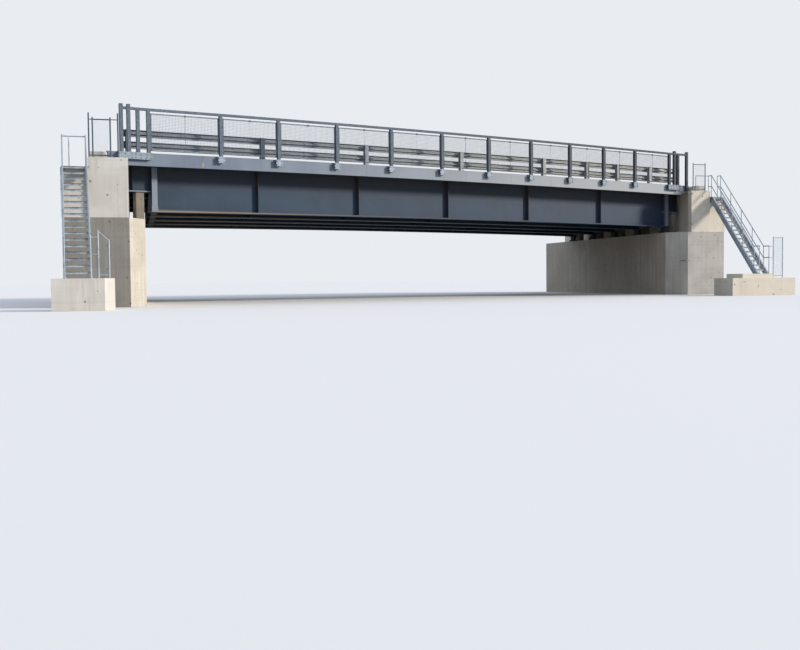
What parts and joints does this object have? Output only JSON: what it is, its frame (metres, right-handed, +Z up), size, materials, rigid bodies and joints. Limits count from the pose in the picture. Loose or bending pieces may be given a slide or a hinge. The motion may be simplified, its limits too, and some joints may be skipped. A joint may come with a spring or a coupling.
{
  "type": "plate girder canal bridge",
  "caption": "Skewed steel plate girder road bridge over a canal, with a concrete deck, mesh railings, guard rails, concrete abutments and steel access stairs.",
  "frame": {"origin": "centre of the bridge's overall box, at the foot of the abutments", "axes": "+X along the girders towards the right abutment, +Y across the deck away from the stairs, +Z up"},
  "size_m": [35.2948, 19.2658, 6.565],
  "materials": {
    "concrete": "board-marked cast concrete, stained",
    "bearing_rubber": "matt",
    "girder_paint": "satin, dusty",
    "fascia_paint": "satin, weathered",
    "rail_steel": "dull galvanised",
    "guard_steel": "weathered galvanised",
    "stair_steel": "dull galvanised"
  },
  "bodies": {
    "root": {"left_stem": "concrete", "right_stem": "concrete", "left_backwall": "concrete", "right_backwall": "concrete", "left_near_wing": "concrete", "right_near_wing": "concrete", "left_far_wing": "concrete", "right_far_wing": "concrete", "left_pedestals": "concrete", "right_pedestals": "concrete", "left_bearings": "bearing_rubber", "right_bearings": "bearing_rubber", "right_end_bearings": "bearing_rubber", "girder_1": "girder_paint", "girder_2": "girder_paint", "girder_3": "girder_paint", "girder_4": "girder_paint", "girder_5": "girder_paint", "end_posts": "girder_paint", "cross_frames": "girder_paint", "deck_slab": "concrete", "near_fascia": "fascia_paint", "far_fascia": "fascia_paint", "near_rail_posts": "rail_steel", "far_rail_posts": "rail_steel", "near_post_brackets": "rail_steel", "far_post_brackets": "rail_steel", "near_top_rail": "rail_steel", "far_top_rail": "rail_steel", "near_mesh_panels": "rail_steel", "far_mesh_panels": "rail_steel", "near_guard_posts": "guard_steel", "far_guard_posts": "guard_steel", "near_guard_beams": "guard_steel", "far_guard_beams": "guard_steel", "left_stair_stringers": "stair_steel", "right_stair_stringers": "stair_steel", "left_stair_treads": "stair_steel", "right_stair_treads": "stair_steel", "left_stair_handrails": "stair_steel", "right_stair_handrails": "stair_steel", "left_stair_pad": "concrete", "right_stair_pad": "concrete", "left_wing_fence": "rail_steel", "right_wing_fence": "rail_steel"}
  },
  "joints": []
}
